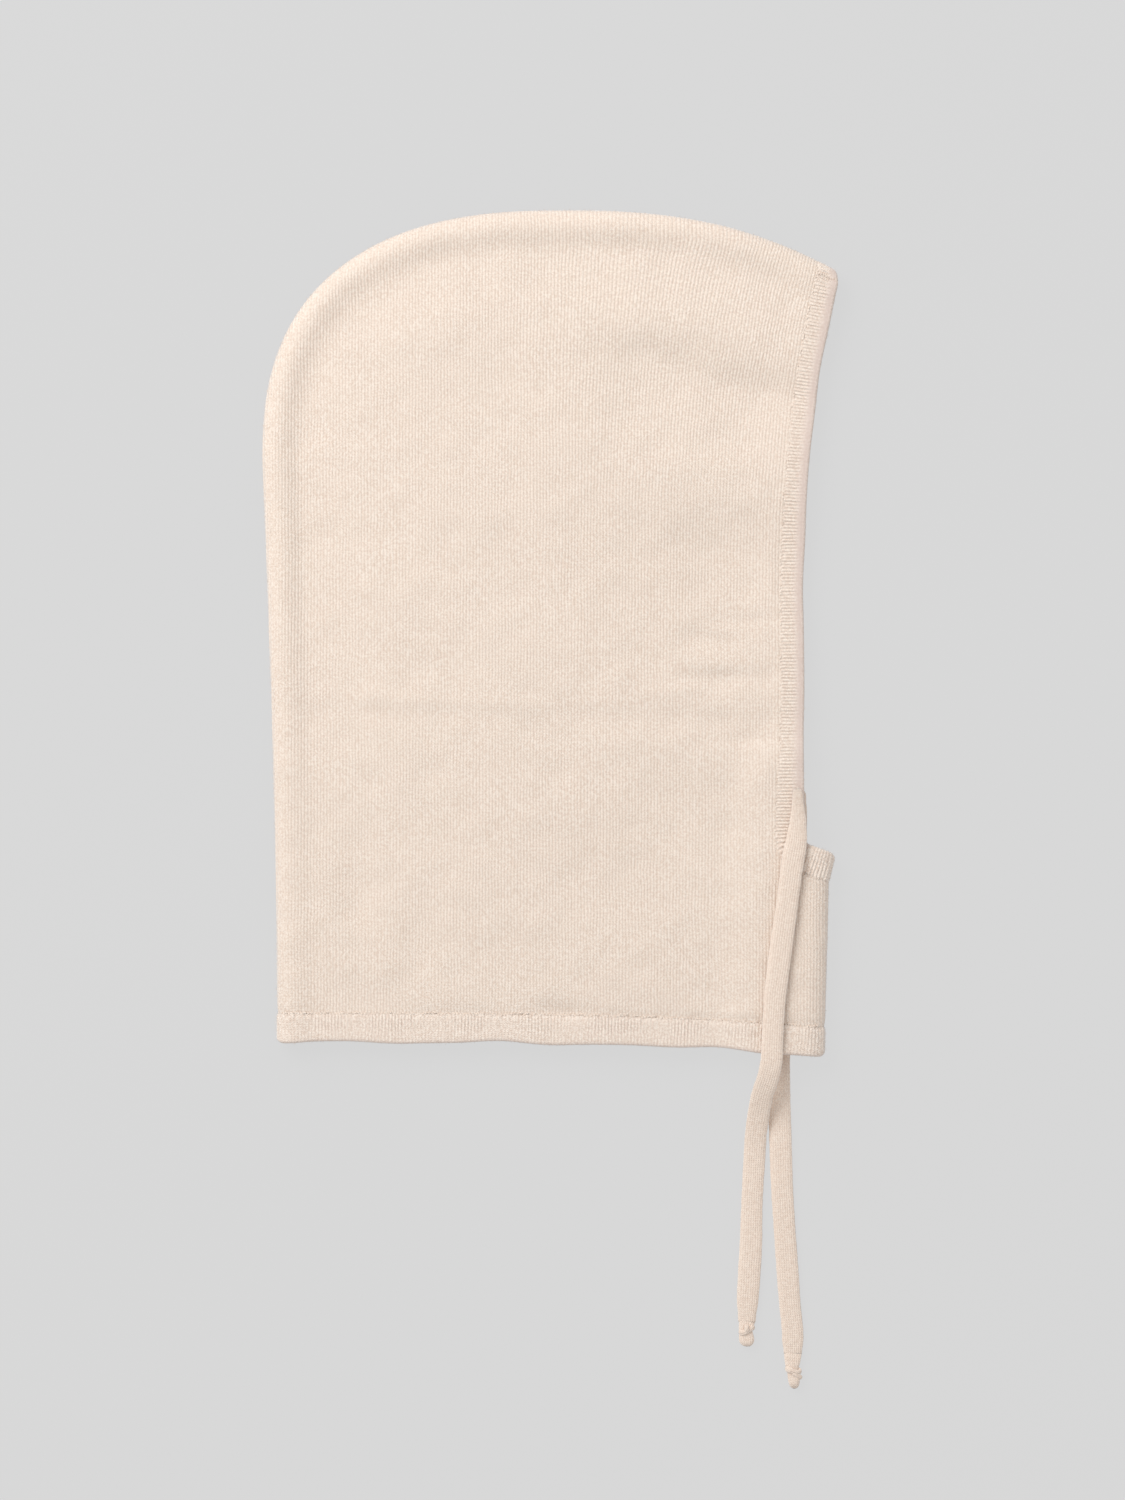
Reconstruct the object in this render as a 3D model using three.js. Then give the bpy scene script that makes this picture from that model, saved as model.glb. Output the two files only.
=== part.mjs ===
// A fine-knit hood with a neck tube and two ties, laid flat on its side.
// Millimetres. +X is the face, +Y the crown, +Z up from the surface that it lies on.
// The origin is on that surface, under the middle of the hood's own box.
import * as THREE from "three";

// Outline of the laid hood
const HOOD_DEPTH = 272; // back of the head to the front corner of the crown
const HOOD_HEIGHT = 400; // lowest point of the hem to the top of the crown
const BACK_TAPER = 7; // the back fold comes forward this far from the head down to the hem
const CROWN_REACH = 143; // back of the head to the top of the crown, along X
const CROWN_RISE = 118; // height in which the back fold rounds into the crown
const CROWN_SQUARENESS = 2.5; // exponent of the crown's rounding, 2 is an ellipse
const CROWN_DROP = 29; // the front corner lies this far below the top of the crown
const CROWN_DROOP = 2.5; // exponent of the crown's fall towards the front corner
const FRONT_LIP = 6; // straight stretch of the face edge under the front corner
const FACE_SETBACK = 16; // front corner to the straight part of the face edge, along X
const FACE_FLARE = 145; // height in which the face edge swings back from the corner
const FACE_SWING = 2.1; // exponent of that swing
const THROAT_STEP = 9.5; // the throat fold stands this far in front of the face edge at the hem
const THROAT_LEAN = 2.5; // and leans out this much further on the way up
const THROAT_LIP = 2.8; // the top of the throat flares out by this much
const THROAT_HEIGHT = 96; // top of the throat above the lowest point of the hem
const THROAT_RISE = 4; // the throat's edge climbs this much from the fold to the face edge
const THROAT_CORNER = 4; // radius where the face edge turns into the throat's edge
const HEM_SLANT = 6.5; // the hem lies this much higher at the back than at the throat
const HEM_SWEEP = 3.4; // exponent of the hem's fall towards the throat

// Bands
const FACE_BAND = 11; // width of the rib band along the face
const THROAT_BAND = 14; // and across the throat
const HEM_BAND = 14; // height of the welt at the neck
const BAND_TURN = 12; // length in which the band meets the fold at each of its ends

// Cloth
const KNIT_WALL = 2; // thickness of the jersey
const BAND_WALL = 2.8; // thickness of the double rib
const BAND_PROUD = 0.4; // the rib stands this far above the jersey beside it
const SEAM_GAP = 0.3; // clearance between the pieces

// How the hood lies
const LAID_HEIGHT = 11; // surface to the top of the upper layer
const ROLL_HEIGHT = 12.5; // height of the soft roll along the folds
const ROLL_REACH = 7; // the roll is this deep, from the fold inwards
const VALLEY_INSET = 18; // the hollow that runs along inside the crown's roll
const VALLEY_WIDTH = 8;
const VALLEY_DEPTH = 0.9;

// Ties
const TIE_WIDTH = 10.2;
const TIE_THICKNESS = 3.4;
const TIE_SIDES = 10;
const TIE_STEP = 20; // length of one step of the tie's tube
const RIDGE_HEIGHT = 4.3; // the hood's lower layer rises by this much over the far tie
const RIDGE_SHARE = 0.7; // share of that rise which shows on the upper layer
const RIDGE_FLAT = 6; // level margin of the ridge on each side of the tie
const RIDGE_RAMP = 13; // width in which the ridge falls away
const KNOT_WIDTH = 8.6;
const KNOT_THICKNESS = 5.6;
const KNOT_SIDES = 12;

// How finely the cloth is divided
const ROLL_COLUMNS = [0, 1.1, 2.8, 5.2, 8.6, 13, 18.5]; // from a fold inwards
const MIDDLE_COLUMNS = 11;
const BODY_ROWS = 27;
const CURVE_SAMPLES = 96;

// Dents in the upper layer, each a smooth oval hollow. Across and up are shares of
// HOOD_DEPTH and HOOD_HEIGHT from the middle, long and wide are half sizes as the same
// shares, turn is in degrees and deep is a share of LAID_HEIGHT.
const DENTS = [
  { across: 0.24, up: 0.325, long: 0.17, wide: 0.03, turn: -12, deep: 0.1 },
  { across: 0.3, up: 0.24, long: 0.09, wide: 0.03, turn: 0, deep: 0.07 },
  { across: 0.32, up: 0.1, long: 0.11, wide: 0.07, turn: 0, deep: 0.07 },
  { across: 0.02, up: -0.075, long: 0.36, wide: 0.018, turn: 2, deep: 0.05 },
  { across: -0.36, up: -0.365, long: 0.035, wide: 0.08, turn: 0, deep: 0.07 },
];

// Where the ties' middle lines run, from the band to the knot
const NEAR_ROUTE = [
  [116.2, -72.5, 16.7],
  [116.6, -80, 16.7],
  [116.6, -88, 16.7],
  [116, -97, 16.7],
  [114.3, -107, 16.7],
  [112.9, -116.5, 16.6],
  [111.2, -130, 16.5],
  [108.4, -150, 16.4],
  [106.2, -168, 16.5],
  [105, -183, 16.6],
  [104.5, -194, 16.6],
  [104.1, -202, 16.3],
  [102.4, -210, 14.4],
  [100, -218, 10.6],
  [98.6, -227, 6.6],
  [97.4, -237, 3.6],
  [96.8, -248, 2.1],
  [95.7, -268, 1.8],
  [95, -291, 1.8],
  [93.6, -315, 1.8],
  [93.2, -326, 1.8],
];
const FAR_ROUTE = [
  [116.2, -72.5, 1.8],
  [116.5, -80, 1.8],
  [116.4, -90, 1.8],
  [115.2, -104, 1.8],
  [113.4, -120, 1.8],
  [111.2, -140, 1.8],
  [109.6, -160, 1.8],
  [108.9, -180, 1.8],
  [108.5, -199, 1.8],
  [108.6, -218, 1.8],
  [109, -236, 1.8],
  [109.5, -252, 1.8],
  [110.2, -268, 1.8],
  [111.8, -292, 1.8],
  [113.4, -315, 1.8],
  [114.8, -330, 1.8],
  [115, -341, 1.8],
];

// Half profiles of the knots: along is a share of the knot's length from the tie,
// out is a share of half its width.
const NEAR_KNOT = {
  length: 11.6,
  profile: [
    { along: 0, out: 0.62 },
    { along: 0.2, out: 0.86 },
    { along: 0.42, out: 0.66 },
    { along: 0.66, out: 1 },
    { along: 0.88, out: 0.74 },
  ],
};
const FAR_KNOT = {
  length: 16.6,
  profile: [
    { along: 0, out: 0.66 },
    { along: 0.16, out: 0.8 },
    { along: 0.28, out: 0.62 },
    { along: 0.52, out: 1 },
    { along: 0.7, out: 0.74 },
    { along: 0.92, out: 0.58 },
  ],
};

const back = -HOOD_DEPTH / 2;
const front = HOOD_DEPTH / 2;
const top = HOOD_HEIGHT / 2;
const bottom = -HOOD_HEIGHT / 2;
const faceX = front - FACE_SETBACK;
const throatX = faceX + THROAT_STEP;

const jersey = new THREE.MeshStandardMaterial({ color: 0xecdccb, roughness: 0.95, metalness: 0 });
const rib = new THREE.MeshStandardMaterial({ color: 0xe8d7c7, roughness: 0.95, metalness: 0 });
const tieKnit = new THREE.MeshStandardMaterial({ color: 0xe4d2c4, roughness: 0.95, metalness: 0 });

const flat = (x, y) => new THREE.Vector2(x, y);
const lerp = THREE.MathUtils.lerp;
const clamp = THREE.MathUtils.clamp;

/** A smooth step from 0 to 1 as value goes from 0 to 1. */
function ease(value) {
  const share = clamp(value, 0, 1);
  return share * share * (3 - 2 * share);
}

/** Evenly spaced shares from 0 to 1, both ends included. */
function shares(count) {
  return Array.from({ length: count }, (_, i) => i / (count - 1));
}

/** A plan curve through points, read by its length in millimetres. */
function planCurve(points) {
  const curve = new THREE.SplineCurve(points);
  curve.arcLengthDivisions = 4 * CURVE_SAMPLES;
  const length = curve.getLength();
  return { length, at: (distance) => curve.getPointAt(clamp(distance / length, 0, 1)) };
}

/** The fold from the hem up the back and over the crown to its front corner. */
function crownFold() {
  const shoulder = top - CROWN_RISE;
  const hemBack = bottom + HEM_SLANT;
  const crownX = back + CROWN_REACH;
  const backEdge = shares(12).map((t) => {
    const drop = 1 - t;
    return flat(back + BACK_TAPER * Math.sin((drop * Math.PI) / 2), lerp(hemBack, shoulder, t));
  });
  const rounding = shares(22).slice(1).map((t) => {
    const angle = (t * Math.PI) / 2;
    const across = Math.cos(angle) ** (2 / CROWN_SQUARENESS);
    const up = Math.sin(angle) ** (2 / CROWN_SQUARENESS);
    return flat(crownX - CROWN_REACH * across, shoulder + CROWN_RISE * up);
  });
  const brow = shares(10).slice(1).map((t) => {
    return flat(lerp(crownX, front, t), top - CROWN_DROP * t ** CROWN_DROOP);
  });
  return planCurve([...backEdge, ...rounding, ...brow]);
}

/** The fold from the hem up the front of the neck to the throat's edge. */
function throatFold() {
  const lipStart = 1 - THROAT_BAND / THROAT_HEIGHT;
  return planCurve(
    shares(24).map((t) => {
      const lip = THROAT_LIP * ease((t - lipStart) / (1 - lipStart));
      return flat(throatX + THROAT_LEAN * t + lip, bottom + THROAT_HEIGHT * t);
    }),
  );
}

/** The free edge of the face opening, from the crown's front corner to the throat's fold. */
function faceEdge() {
  const throatTop = bottom + THROAT_HEIGHT;
  const cornerY = throatTop + THROAT_RISE + THROAT_CORNER;
  const flareTop = top - CROWN_DROP - FRONT_LIP;
  const swing = shares(16).map((t) => {
    const out = FACE_SETBACK * (1 - t) ** FACE_SWING;
    return flat(faceX + out, flareTop - FACE_FLARE * t);
  });
  const straight = shares(8).slice(1).map((t) => {
    return flat(faceX, lerp(flareTop - FACE_FLARE, cornerY, t));
  });
  const corner = shares(6).slice(1).map((t) => {
    const angle = (t * Math.PI) / 2;
    const x = faceX + THROAT_CORNER * (1 - Math.cos(angle));
    return flat(x, cornerY - THROAT_CORNER * Math.sin(angle));
  });
  const throatEnd = flat(throatX + THROAT_LEAN + THROAT_LIP, throatTop);
  const start = corner.at(-1);
  const throat = shares(4).slice(1).map((t) => start.clone().lerp(throatEnd, t));
  return planCurve([flat(front, top - CROWN_DROP), ...swing, ...straight, ...corner, ...throat]);
}

/** The free edge of the neck, from the throat's fold to the back fold. */
function hemEdge() {
  return planCurve(
    shares(16).map((t) => {
      const x = lerp(throatX, back + BACK_TAPER, t);
      return flat(x, bottom + HEM_SLANT * (1 - (1 - t) ** HEM_SWEEP));
    }),
  );
}

const crown = crownFold();
const throat = throatFold();
const face = faceEdge();
const hem = hemEdge();

/** Sample points of a plan curve, spaced evenly. */
function samples(curve) {
  return shares(CURVE_SAMPLES).map((t) => curve.at(t * curve.length));
}

/** Distance in plan from a point to the nearest of a chain of points. */
function distanceTo(chain, point) {
  let nearest = Infinity;
  for (let i = 1; i < chain.length; i += 1) {
    const run = chain[i].clone().sub(chain[i - 1]);
    const along = point.clone().sub(chain[i - 1]).dot(run) / run.lengthSq();
    const foot = chain[i - 1].clone().addScaledVector(run, clamp(along, 0, 1));
    nearest = Math.min(nearest, foot.distanceTo(point));
  }
  return nearest;
}

const crownChain = samples(crown);
const throatChain = samples(throat);
const farTieChain = FAR_ROUTE.map(([x, y]) => flat(x, y));

/** How far a point of the plan lies from the nearest fold. */
function foldDistance(point) {
  return Math.min(distanceTo(crownChain, point), distanceTo(throatChain, point));
}

/** The rise of the lower layer over the far tie. */
function ridge(point) {
  const beside = distanceTo(farTieChain, point) - TIE_WIDTH / 2 - RIDGE_FLAT;
  return RIDGE_HEIGHT * (1 - ease(beside / RIDGE_RAMP));
}

/** The depth of all dents at a point of the plan. */
function dentDepth(point) {
  return DENTS.reduce((sum, dent) => {
    const turn = THREE.MathUtils.degToRad(dent.turn);
    const away = point.clone().sub(flat(dent.across * HOOD_DEPTH, dent.up * HOOD_HEIGHT));
    away.rotateAround(flat(0, 0), -turn);
    const u = away.x / (dent.long * HOOD_DEPTH);
    const v = away.y / (dent.wide * HOOD_HEIGHT);
    return sum + dent.deep * LAID_HEIGHT * Math.exp(-u * u - v * v);
  }, 0);
}

/** Height of the upper layer's face inside the roll. */
function openHeight(distance, point) {
  const roll = (ROLL_HEIGHT - LAID_HEIGHT) * (1 - ease((distance - ROLL_REACH) / ROLL_REACH));
  const beside = (distanceTo(crownChain, point) - VALLEY_INSET) / VALLEY_WIDTH;
  return LAID_HEIGHT + roll - VALLEY_DEPTH * Math.exp(-beside * beside) - dentDepth(point);
}

/** Heights of both outer faces over a point of the plan. */
function layers(point) {
  const distance = foldDistance(point);
  const inwards = Math.min(distance / ROLL_REACH, 1);
  const bulge = Math.sqrt(Math.max(0, 1 - (1 - inwards) ** 2));
  const middle = ROLL_HEIGHT / 2;
  const lift = ridge(point);
  return {
    lower: middle * (1 - bulge) + lift,
    upper: lerp(middle, openHeight(distance, point), bulge) + lift * RIDGE_SHARE,
  };
}

/** Distances along an open edge for each column, close together beside both folds. */
function columnStops(length) {
  const first = ROLL_COLUMNS;
  const last = ROLL_COLUMNS.map((inset) => length - inset).reverse();
  const gap = last[0] - first.at(-1);
  const middle = shares(MIDDLE_COLUMNS + 2).slice(1, -1).map((t) => first.at(-1) + gap * t);
  return [...first, ...middle, ...last];
}

/** The plan normal of an edge, pointing into the cloth, on its right as it runs. */
function edgeNormal(curve, distance) {
  const step = curve.length / CURVE_SAMPLES / 4;
  const run = curve.at(distance + step).sub(curve.at(distance - step)).normalize();
  return flat(run.y, -run.x);
}

/**
 * Points at a set inset from an open edge. The line meets both folds at the same
 * inset along them, so that it closes with the other layer.
 */
function insetLine(edge, inset, ends) {
  const raw = shares(CURVE_SAMPLES).map((t) => {
    const distance = t * edge.length;
    const width = lerp(inset.start, inset.end, ease((t - 0.7) / 0.25));
    return edge.at(distance).addScaledVector(edgeNormal(edge, distance), width);
  });
  const startShift = ends.start.clone().sub(raw[0]);
  const endShift = ends.end.clone().sub(raw.at(-1));
  return raw.map((point, i) => {
    const distance = (i / (CURVE_SAMPLES - 1)) * edge.length;
    const fromStart = 1 - ease(distance / BAND_TURN);
    const fromEnd = 1 - ease((edge.length - distance) / BAND_TURN);
    return point.addScaledVector(startShift, fromStart).addScaledVector(endShift, fromEnd);
  });
}

/** The lines of one band: its inner edge, its outer edge and the body's edge beside it. */
function bandLines(edge, widths, foldPoint) {
  const line = (extra) =>
    insetLine(
      edge,
      { start: widths.start + extra, end: widths.end + extra },
      { start: foldPoint.start(widths.start + extra), end: foldPoint.end(widths.end + extra) },
    );
  const outer = samples(edge);
  const inner = line(0);
  const middles = outer.map((point, i) => point.clone().lerp(inner[i], 0.5));
  const lengths = middles.reduce((sums, point, i) => {
    return [...sums, i ? sums[i - 1] + point.distanceTo(middles[i - 1]) : 0];
  }, []);
  const stops = columnStops(lengths.at(-1)).map((stop) => indexAt(lengths, stop));
  const pick = (points) => stops.map((stop) => pointAt(points, stop));
  return { outer: pick(outer), inner: pick(inner), body: pick(line(SEAM_GAP)) };
}

/** The fractional index at which a rising list reaches a value. */
function indexAt(lengths, value) {
  const next = lengths.findIndex((length) => length >= value);
  if (next <= 0) return next === 0 ? 0 : lengths.length - 1;
  return next - 1 + (value - lengths[next - 1]) / (lengths[next] - lengths[next - 1]);
}

/** The point at a fractional index of a chain. */
function pointAt(points, index) {
  const low = Math.min(Math.floor(index), points.length - 2);
  return points[low].clone().lerp(points[low + 1], index - low);
}

const faceLines = bandLines(face, { start: FACE_BAND, end: THROAT_BAND }, {
  start: (inset) => crown.at(crown.length - inset),
  end: (inset) => throat.at(throat.length - inset),
});
const hemLines = bandLines(hem, { start: HEM_BAND, end: HEM_BAND }, {
  start: (inset) => throat.at(inset),
  end: (inset) => crown.at(inset),
});

/** A point's place beside a chord: along it and to its left, as shares of its length. */
function placeBeside(start, end, point) {
  const chord = end.clone().sub(start);
  const offset = point.clone().sub(start);
  return flat(offset.dot(chord), chord.cross(offset)).divideScalar(chord.lengthSq());
}

/** The point at a place beside a chord. */
function besideChord(start, end, place) {
  const chord = end.clone().sub(start);
  const left = flat(-chord.y, chord.x);
  return start.clone().addScaledVector(chord, place.x).addScaledVector(left, place.y);
}

/** Points along the stretch of a fold between two distances, one for each body row. */
function foldStops(fold, from, to) {
  return shares(BODY_ROWS).map((v) => fold.at(lerp(from, to, v)));
}

/**
 * Plan rows of the body. Each column runs from the hem line to the face line, bent like
 * the crown's fold at one side and like the throat's fold at the other.
 */
function bodyPlan() {
  const below = [...hemLines.body].reverse();
  const above = faceLines.body;
  const lowest = HEM_BAND + SEAM_GAP;
  const crownRun = foldStops(crown, lowest, crown.length - FACE_BAND - SEAM_GAP);
  const throatRun = foldStops(throat, lowest, throat.length - THROAT_BAND - SEAM_GAP);
  const places = (run) => run.map((point) => placeBeside(run[0], run.at(-1), point));
  const crownPlaces = places(crownRun);
  const throatPlaces = places(throatRun);
  return crownPlaces.map((place, row) => {
    return below.map((low, i) => {
      const share = i / (below.length - 1);
      return besideChord(low, above[i], place.clone().lerp(throatPlaces[row], share));
    });
  });
}

/** Plan rows of a band, from its inner line to where its rounded edge starts. */
function bandPlan(lines, width) {
  const stop = 1 - (BAND_WALL / 2) / width;
  return [0, 0.3, 0.65, 1].map((share) => {
    return lines.inner.map((point, i) => point.clone().lerp(lines.outer[i], share * stop));
  });
}

/** Closed rings of outer points: along the upper layer, then back along the lower. */
function outerRings(plan) {
  return plan.map((row) => {
    const last = row.length - 1;
    const upper = row.map((point, i) => {
      const heights = layers(point);
      const fold = i === 0 || i === last;
      const height = fold ? (heights.upper + heights.lower) / 2 : heights.upper;
      return new THREE.Vector3(point.x, point.y, height);
    });
    const lower = row.slice(1, -1).map((point) => {
      return new THREE.Vector3(point.x, point.y, layers(point).lower);
    });
    return [...upper, ...lower.reverse()];
  });
}

/** Outward normals of the rings, from their neighbours. */
function ringNormals(rings) {
  const columns = rings[0].length;
  return rings.map((ring, row) => {
    const before = rings[Math.max(row - 1, 0)];
    const after = rings[Math.min(row + 1, rings.length - 1)];
    return ring.map((_, i) => {
      const round = ring[(i + 1) % columns].clone().sub(ring[(i + columns - 1) % columns]);
      const along = after[i].clone().sub(before[i]);
      return round.cross(along).normalize();
    });
  });
}

/** Rings moved along their normals. */
function offsetRings(rings, normals, distance) {
  return rings.map((ring, row) => {
    return ring.map((point, i) => point.clone().addScaledVector(normals[row][i], distance(normals[row][i])));
  });
}

/** Rings round the half-round edge that joins a band's outer and inner faces. */
function edgeRings(outer, inner, before) {
  return [60, 20, -20, -60].map((degrees) => {
    const angle = THREE.MathUtils.degToRad(degrees);
    return outer.map((high, i) => {
      const middle = high.clone().lerp(inner[i], 0.5);
      const half = high.clone().sub(middle);
      const away = middle.clone().sub(before[i]).projectOnPlane(half).normalize();
      return middle
        .addScaledVector(away, half.length() * Math.cos(angle))
        .addScaledVector(half, Math.sin(angle));
    });
  });
}

/** One closed body from rings that follow each other all the way round its wall. */
function wallGeometry(rings) {
  const columns = rings[0].length;
  const index = [];
  rings.forEach((_, row) => {
    const next = (row + 1) % rings.length;
    for (let i = 0; i < columns; i += 1) {
      const j = (i + 1) % columns;
      const corners = [row * columns + i, row * columns + j, next * columns + j, next * columns + i];
      index.push(corners[0], corners[1], corners[2], corners[0], corners[2], corners[3]);
    }
  });
  const geometry = new THREE.BufferGeometry().setFromPoints(rings.flat());
  geometry.setIndex(index);
  geometry.computeVertexNormals();
  return geometry;
}

/** The jersey wall of the hood and neck. */
function bodyGeometry() {
  const outer = outerRings(bodyPlan());
  const inner = offsetRings(outer, ringNormals(outer), () => -KNIT_WALL);
  return wallGeometry([...outer, ...inner.reverse()]);
}

/** A rib band along one open edge. It stands proud of the jersey on the upper layer. */
function bandGeometry(lines, width) {
  const base = outerRings(bandPlan(lines, width));
  const normals = ringNormals(base);
  const proud = (normal) => (BAND_PROUD * (1 + normal.z)) / 2;
  const outer = offsetRings(base, normals, proud);
  const inner = offsetRings(base, normals, (normal) => proud(normal) - BAND_WALL);
  const middle = base.length - 2;
  const before = outer[middle].map((point, i) => point.clone().lerp(inner[middle][i], 0.5));
  const edge = edgeRings(outer.at(-1), inner.at(-1), before);
  return wallGeometry([...outer, ...edge, ...inner.reverse()]);
}

/** A route whose flat side stays level, however it turns. */
class LevelRoute extends THREE.CatmullRomCurve3 {
  computeFrenetFrames(segments) {
    const tangents = shares(segments + 1).map((t) => this.getTangentAt(t).normalize());
    const binormals = tangents.map((tangent) => {
      return new THREE.Vector3(0, 0, 1).projectOnPlane(tangent).normalize();
    });
    const normals = tangents.map((tangent, i) => binormals[i].clone().cross(tangent));
    return { tangents, normals, binormals };
  }
}

/** The flat oval section of a tie. */
function tieSection() {
  return new THREE.Shape(
    Array.from({ length: TIE_SIDES }, (_, i) => {
      const angle = ((i + 0.5) / TIE_SIDES) * 2 * Math.PI;
      const across = Math.sign(Math.cos(angle)) * Math.abs(Math.cos(angle)) ** 0.8;
      return flat((across * TIE_WIDTH) / 2, (Math.sin(angle) * TIE_THICKNESS) / 2);
    }),
  );
}

/** The tube of a tie along its route. */
function tieGeometry(points) {
  const route = new LevelRoute(points.map((point) => new THREE.Vector3(...point)));
  return new THREE.ExtrudeGeometry(tieSection(), {
    steps: Math.ceil(route.getLength() / TIE_STEP),
    extrudePath: route,
    curveSegments: 1,
  });
}

/** A knot, turned about its own length and pressed flatter, at the end of a route. */
function knotMesh(name, knot, points) {
  const [before, end] = points.slice(-2).map((point) => new THREE.Vector3(...point));
  const profile = knot.profile.map(({ along, out }) => {
    return flat((out * KNOT_WIDTH) / 2, along * knot.length);
  });
  const outline = [flat(0, 0), ...profile, flat(0, knot.length)];
  const geometry = new THREE.LatheGeometry(outline, KNOT_SIDES);
  geometry.rotateX(Math.PI / 2);
  geometry.scale(1, KNOT_THICKNESS / KNOT_WIDTH, 1);
  const heading = end.clone().sub(before).setZ(0).normalize();
  const mesh = new THREE.Mesh(geometry, tieKnit);
  mesh.name = name;
  const seat = end.clone().addScaledVector(heading, SEAM_GAP);
  mesh.position.set(seat.x, seat.y, KNOT_THICKNESS / 2 + 0.1);
  mesh.up.set(0, 0, 1);
  mesh.lookAt(mesh.position.clone().add(heading));
  return mesh;
}

/** A named mesh at the group's own origin. */
function piece(name, geometry, material) {
  const mesh = new THREE.Mesh(geometry, material);
  mesh.name = name;
  return mesh;
}

const hood = new THREE.Group();
hood.add(piece("hood_body", bodyGeometry(), jersey));
hood.add(piece("face_band", bandGeometry(faceLines, FACE_BAND), rib));
hood.add(piece("neck_hem", bandGeometry(hemLines, HEM_BAND), rib));

const ties = new THREE.Group();
ties.add(piece("near_tie", tieGeometry(NEAR_ROUTE), tieKnit));
ties.add(knotMesh("near_tie_knot", NEAR_KNOT, NEAR_ROUTE));
ties.add(piece("far_tie", tieGeometry(FAR_ROUTE), tieKnit));
ties.add(knotMesh("far_tie_knot", FAR_KNOT, FAR_ROUTE));
hood.add(ties);

export default hood;
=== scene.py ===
"""Looks for a fine-knit hood with two ties, laid flat on its side.

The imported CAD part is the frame. Every piece is made in metres in its place, and stands
for one of the part's nodes. +X is the face, +Y the crown and +Z up.
"""

from __future__ import annotations

import logging
import math
from dataclasses import dataclass, field
from enum import Enum
from typing import Any, Callable, Sequence

import bpy
import numpy as np
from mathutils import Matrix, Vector

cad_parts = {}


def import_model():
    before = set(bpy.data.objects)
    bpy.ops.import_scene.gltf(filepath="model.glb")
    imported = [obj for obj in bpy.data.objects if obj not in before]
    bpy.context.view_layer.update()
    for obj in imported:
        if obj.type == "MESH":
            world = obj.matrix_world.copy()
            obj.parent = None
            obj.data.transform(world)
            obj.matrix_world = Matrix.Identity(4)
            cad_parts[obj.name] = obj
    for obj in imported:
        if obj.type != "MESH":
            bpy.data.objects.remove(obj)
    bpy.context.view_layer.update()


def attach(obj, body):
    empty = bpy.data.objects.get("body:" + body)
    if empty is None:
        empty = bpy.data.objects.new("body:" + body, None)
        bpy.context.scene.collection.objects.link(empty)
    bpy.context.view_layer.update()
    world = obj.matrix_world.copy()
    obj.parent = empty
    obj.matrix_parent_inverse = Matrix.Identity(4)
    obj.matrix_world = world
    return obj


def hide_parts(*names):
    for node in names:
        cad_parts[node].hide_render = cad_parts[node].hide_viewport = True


LOG = logging.getLogger("hood")
Array = np.ndarray
ROOT = "root"


def ease(value: Array | float) -> Array:
    """A smooth step from 0 to 1 as value goes from 0 to 1."""
    share = np.clip(value, 0.0, 1.0)
    return share * share * (3.0 - 2.0 * share)


def lerp(start: Any, end: Any, share: Any) -> Any:
    """The value at a share of the way from start to end."""
    return start + (end - start) * share


def round_end(share: Array) -> Array:
    """The half width of a rounded end, from 0 at its tip to 1 where it is full."""
    return np.sqrt(np.clip(1.0 - (1.0 - np.clip(share, 0.0, 1.0)) ** 2, 0.003, 1.0))


def unit(vectors: Array) -> Array:
    """The same vectors with length 1."""
    return vectors / np.maximum(np.linalg.norm(vectors, axis=-1, keepdims=True), 1e-12)


def swell(points: Array, seed: int, wave: float, count: int = 14) -> Array:
    """A soft random relief over the plan, the same on each run.

    Args:
        points: places in plan, in metres.
        seed: which relief.
        wave: the usual distance from one crest to the next, in metres.
        count: how many waves are added up.

    Returns:
        One value for each point, mostly between -1 and 1.
    """
    draw = np.random.default_rng(seed)
    total = np.zeros(points.shape[:-1])
    for _ in range(count):
        heading = draw.uniform(0.0, 2.0 * math.pi)
        rate = 2.0 * math.pi / (wave * draw.uniform(0.7, 1.5))
        phase = draw.uniform(0.0, 2.0 * math.pi)
        across = points[..., 0] * math.cos(heading) + points[..., 1] * math.sin(heading)
        total += np.sin(across * rate + phase)
    return total / math.sqrt(count)


class PlanCurve:
    """A line in plan that is read by its length."""

    def __init__(self, points: Sequence[Sequence[float]] | Array) -> None:
        """Keeps the points and the length at each.

        Args:
            points: places along the line, close together.
        """
        self.points = np.asarray(points, float)
        steps = np.linalg.norm(np.diff(self.points, axis=0), axis=1)
        self.marks = np.concatenate([[0.0], np.cumsum(steps)])
        self.length = float(self.marks[-1])

    def at(self, distance: Array | float) -> Array:
        """The places at distances along the line."""
        read = [np.interp(distance, self.marks, self.points[:, k]) for k in (0, 1)]
        return np.stack(read, axis=-1)

    def heading(self, distance: Array) -> Array:
        """The unit direction of the line at distances along it."""
        step = self.length / 400.0
        return unit(self.at(distance + step) - self.at(distance - step))

    def samples(self, count: int) -> Array:
        """Evenly spaced places, both ends included."""
        return self.at(np.linspace(0.0, self.length, count))

    def away(self, places: Array, pieces: int = 120) -> Array:
        """How far places of the plan lie from the line.

        Args:
            places: points in plan.
            pieces: how many straight pieces the line is read as.

        Returns:
            One distance for each place.
        """
        chain = self.samples(pieces + 1)
        flat = places.reshape(-1, 2)
        nearest = np.full(len(flat), np.inf)
        for start, end in zip(chain[:-1], chain[1:]):
            run = end - start
            along = np.clip((flat - start) @ run / (run @ run), 0.0, 1.0)
            foot = start + along[:, None] * run
            nearest = np.minimum(nearest, np.linalg.norm(flat - foot, axis=1))
        return nearest.reshape(places.shape[:-1])


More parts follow.
